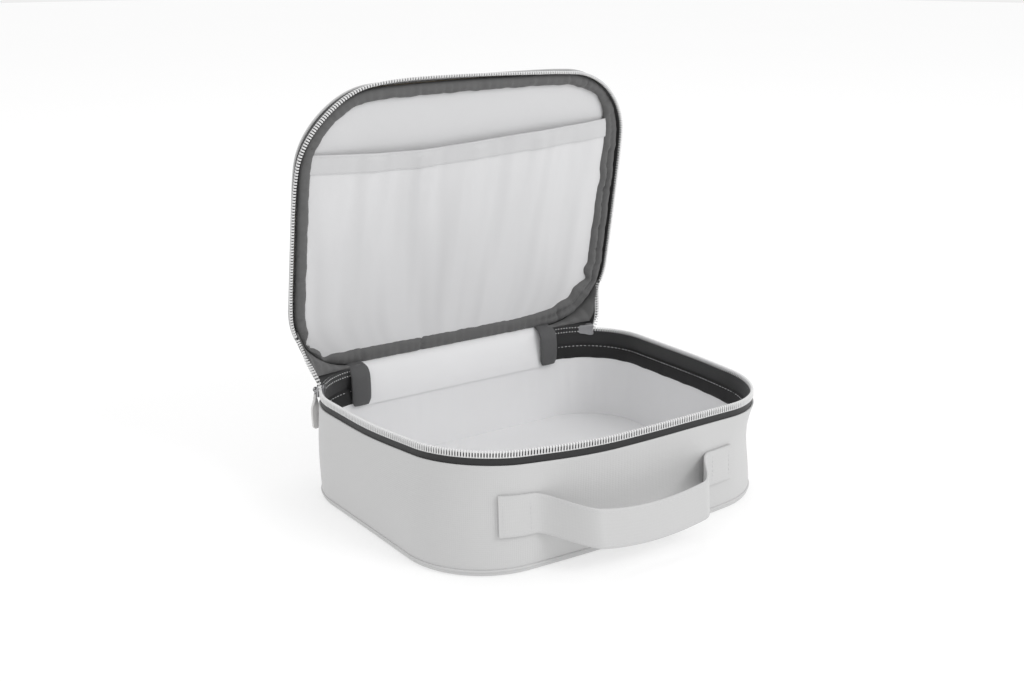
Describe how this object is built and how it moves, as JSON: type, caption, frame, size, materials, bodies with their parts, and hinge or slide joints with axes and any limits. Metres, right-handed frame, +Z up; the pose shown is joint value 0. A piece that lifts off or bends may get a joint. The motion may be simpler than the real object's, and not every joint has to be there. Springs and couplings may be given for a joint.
{
  "type": "toiletry bag",
  "caption": "Box-shaped zip toiletry bag of coated fabric, lid hinged open, with inner lid pocket, two sliders and a front carrying strap.",
  "frame": {"origin": "centre of the base's resting face", "axes": "+X to the right seen from the handle side, +Y towards the lid's hinge, +Z up; the lid stands open at rest"},
  "size_m": [0.2814, 0.2606, 0.294],
  "materials": {
    "coated_fabric": "light grey coated fabric with a fine embossed grain",
    "lining": "thin light grey woven lining",
    "dark_binding": "dark grey woven binding",
    "dark_tape": "near-black woven zip tape",
    "foam": "padding foam",
    "board": "stiffening board",
    "zip_teeth": "white moulded zip teeth",
    "metal": "plated slider and link"
  },
  "bodies": {
    "base": {"base_binding": "dark_binding", "base_bottom_board": "board", "base_bottom_panel": "coated_fabric", "base_floor_lining": "lining", "base_outer_wall": "coated_fabric", "base_wall_foam": "foam", "base_wall_lining": "lining", "base_zip_tape": "dark_tape", "base_zip_teeth": "zip_teeth", "bottom_welt": "coated_fabric", "handle_end_left": "coated_fabric", "handle_end_right": "coated_fabric", "hinge_lining_base": "lining", "hinge_panel_base": "coated_fabric", "zip_end_tab_left": "dark_binding", "zip_end_tab_right": "dark_binding", "zip_stop_left": "zip_teeth", "zip_stop_right": "zip_teeth"},
    "lid": {"hinge_lining_lid": "lining", "hinge_panel_lid": "coated_fabric", "lid_binding": "dark_binding", "lid_board": "board", "lid_foam": "foam", "lid_lining": "lining", "lid_outer_panel": "coated_fabric", "lid_pocket_hem": "lining", "lid_pocket_panel": "lining", "lid_zip_tape": "dark_tape", "lid_zip_teeth": "zip_teeth"},
    "handle": {"handle_strap": "coated_fabric"},
    "slider_left": {"slider_left": "metal"},
    "pull_left": {"pull_link_left": "metal", "pull_tab_left": "coated_fabric"},
    "slider_right": {"slider_right": "metal"},
    "pull_right": {"pull_link_right": "metal", "pull_tab_right": "coated_fabric"}
  },
  "joints": [
    {"name": "lid_hinge", "type": "hinge", "parent": "base", "child": "lid", "pos_m": [0, 0.10985, 0.0762], "axis": [-1, 0, 0], "range_deg": [-81, 99]},
    {"name": "handle_swing", "type": "hinge", "parent": "base", "child": "handle", "pos_m": [-0.012, -0.11873, 0.03446], "axis": [1, 0, 0], "range_deg": [-20, 20]},
    {"name": "slider_left_run", "type": "hinge", "parent": "base", "child": "slider_left", "pos_m": [-0.088, 0.057, 0.0762], "axis": [0, 0, 1], "range_deg": [0, 35]},
    {"name": "pull_left_swing", "type": "hinge", "parent": "slider_left", "child": "pull_left", "pos_m": [-0.13281, 0.08837, 0.0762], "axis": [0.5736, 0.8192, 0], "range_deg": [0, 150]},
    {"name": "slider_right_run", "type": "hinge", "parent": "base", "child": "slider_right", "pos_m": [0.088, 0.057, 0.0762], "axis": [0, 0, -1], "range_deg": [0, 55]},
    {"name": "pull_right_swing", "type": "hinge", "parent": "slider_right", "child": "pull_right", "pos_m": [0.11937, 0.10181, 0.0762], "axis": [0.8192, -0.5736, 0], "range_deg": [0, 120]}
  ]
}
